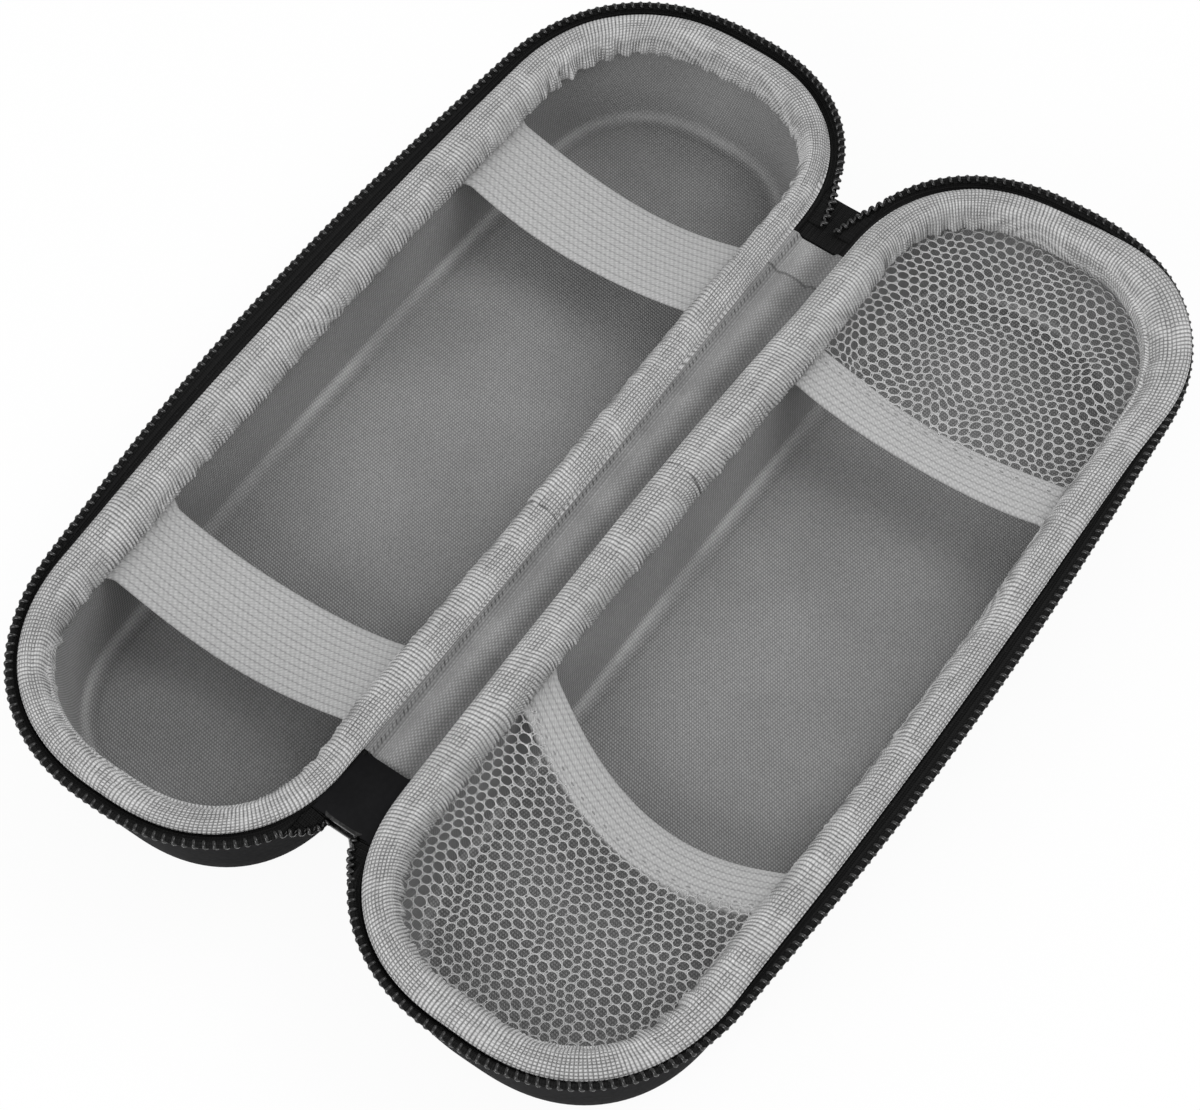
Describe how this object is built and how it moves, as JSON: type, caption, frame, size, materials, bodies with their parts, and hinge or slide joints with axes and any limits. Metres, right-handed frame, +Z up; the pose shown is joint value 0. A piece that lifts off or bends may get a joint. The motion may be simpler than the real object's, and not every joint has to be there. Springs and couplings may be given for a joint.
{
  "type": "toothbrush travel case",
  "caption": "Long zip case with two moulded fabric-lined shells on a soft hinge, elastic straps on one side and net pockets on the other, shown open.",
  "frame": {"origin": "on the table under the middle of the fabric hinge, with the case lying open", "axes": "+Y along the case away from the slider's end, +X from the hinge to the lid, +Z up"},
  "size_m": [0.1748, 0.2342, 0.0325],
  "materials": {
    "black_leatherette": "smooth satin",
    "dark_foam": "matt",
    "grey_lining": "fine knit, matt",
    "pale_grey_binding": "ribbed plain weave",
    "black_tape": "woven, matt",
    "black_coil": "glossy nylon",
    "grey_web": "plain weave",
    "grey_elastic": "ribbed elastic",
    "grey_net": "knitted net",
    "black_metal": "black plated"
  },
  "bodies": {
    "base": {"base_outer_skin": "black_leatherette", "base_foam_shell": "dark_foam", "base_lining": "grey_lining", "base_binding": "pale_grey_binding", "base_zipper_tape": "black_tape", "base_zipper_coil": "black_coil", "near_strap": "grey_elastic", "far_strap": "grey_elastic"},
    "spine": {"hinge_inner_web": "grey_web", "hinge_outer_web": "black_leatherette", "far_tape_end": "black_tape", "near_end_patch": "black_leatherette", "base_coil_far_end": "black_coil", "base_coil_near_end": "black_coil", "lid_coil_far_end": "black_coil", "lid_coil_near_end": "black_coil"},
    "lid": {"lid_outer_skin": "black_leatherette", "lid_foam_shell": "dark_foam", "lid_lining": "grey_lining", "lid_binding": "pale_grey_binding", "lid_zipper_tape": "black_tape", "lid_zipper_coil": "black_coil", "far_pocket_trim": "grey_elastic", "near_pocket_trim": "grey_elastic", "far_pocket_net": "grey_net", "near_pocket_net": "grey_net"},
    "slider": {"zipper_slider": "black_metal"},
    "pull": {"pull_tab": "black_metal"}
  },
  "joints": [
    {"name": "spine_fold", "type": "hinge", "parent": "base", "child": "spine", "pos_m": [-0.0045, 0, 0.03], "axis": [0, -1, 0], "range_deg": [0, 90]},
    {"name": "lid_fold", "type": "hinge", "parent": "spine", "child": "lid", "pos_m": [0.0045, 0, 0.03], "axis": [0, -1, 0], "range_deg": [0, 90]},
    {"name": "slider_run", "type": "slide", "parent": "spine", "child": "slider", "axis": [0, -1, 0], "range_m": [0, 0.0025]},
    {"name": "pull_swing", "type": "hinge", "parent": "slider", "child": "pull", "pos_m": [0, -0.0864, 0.02495], "axis": [1, 0, 0], "range_deg": [-80, 80]}
  ],
  "couplings": [
    {"joint": "lid_fold", "follows": "spine_fold", "ratio": 1}
  ]
}
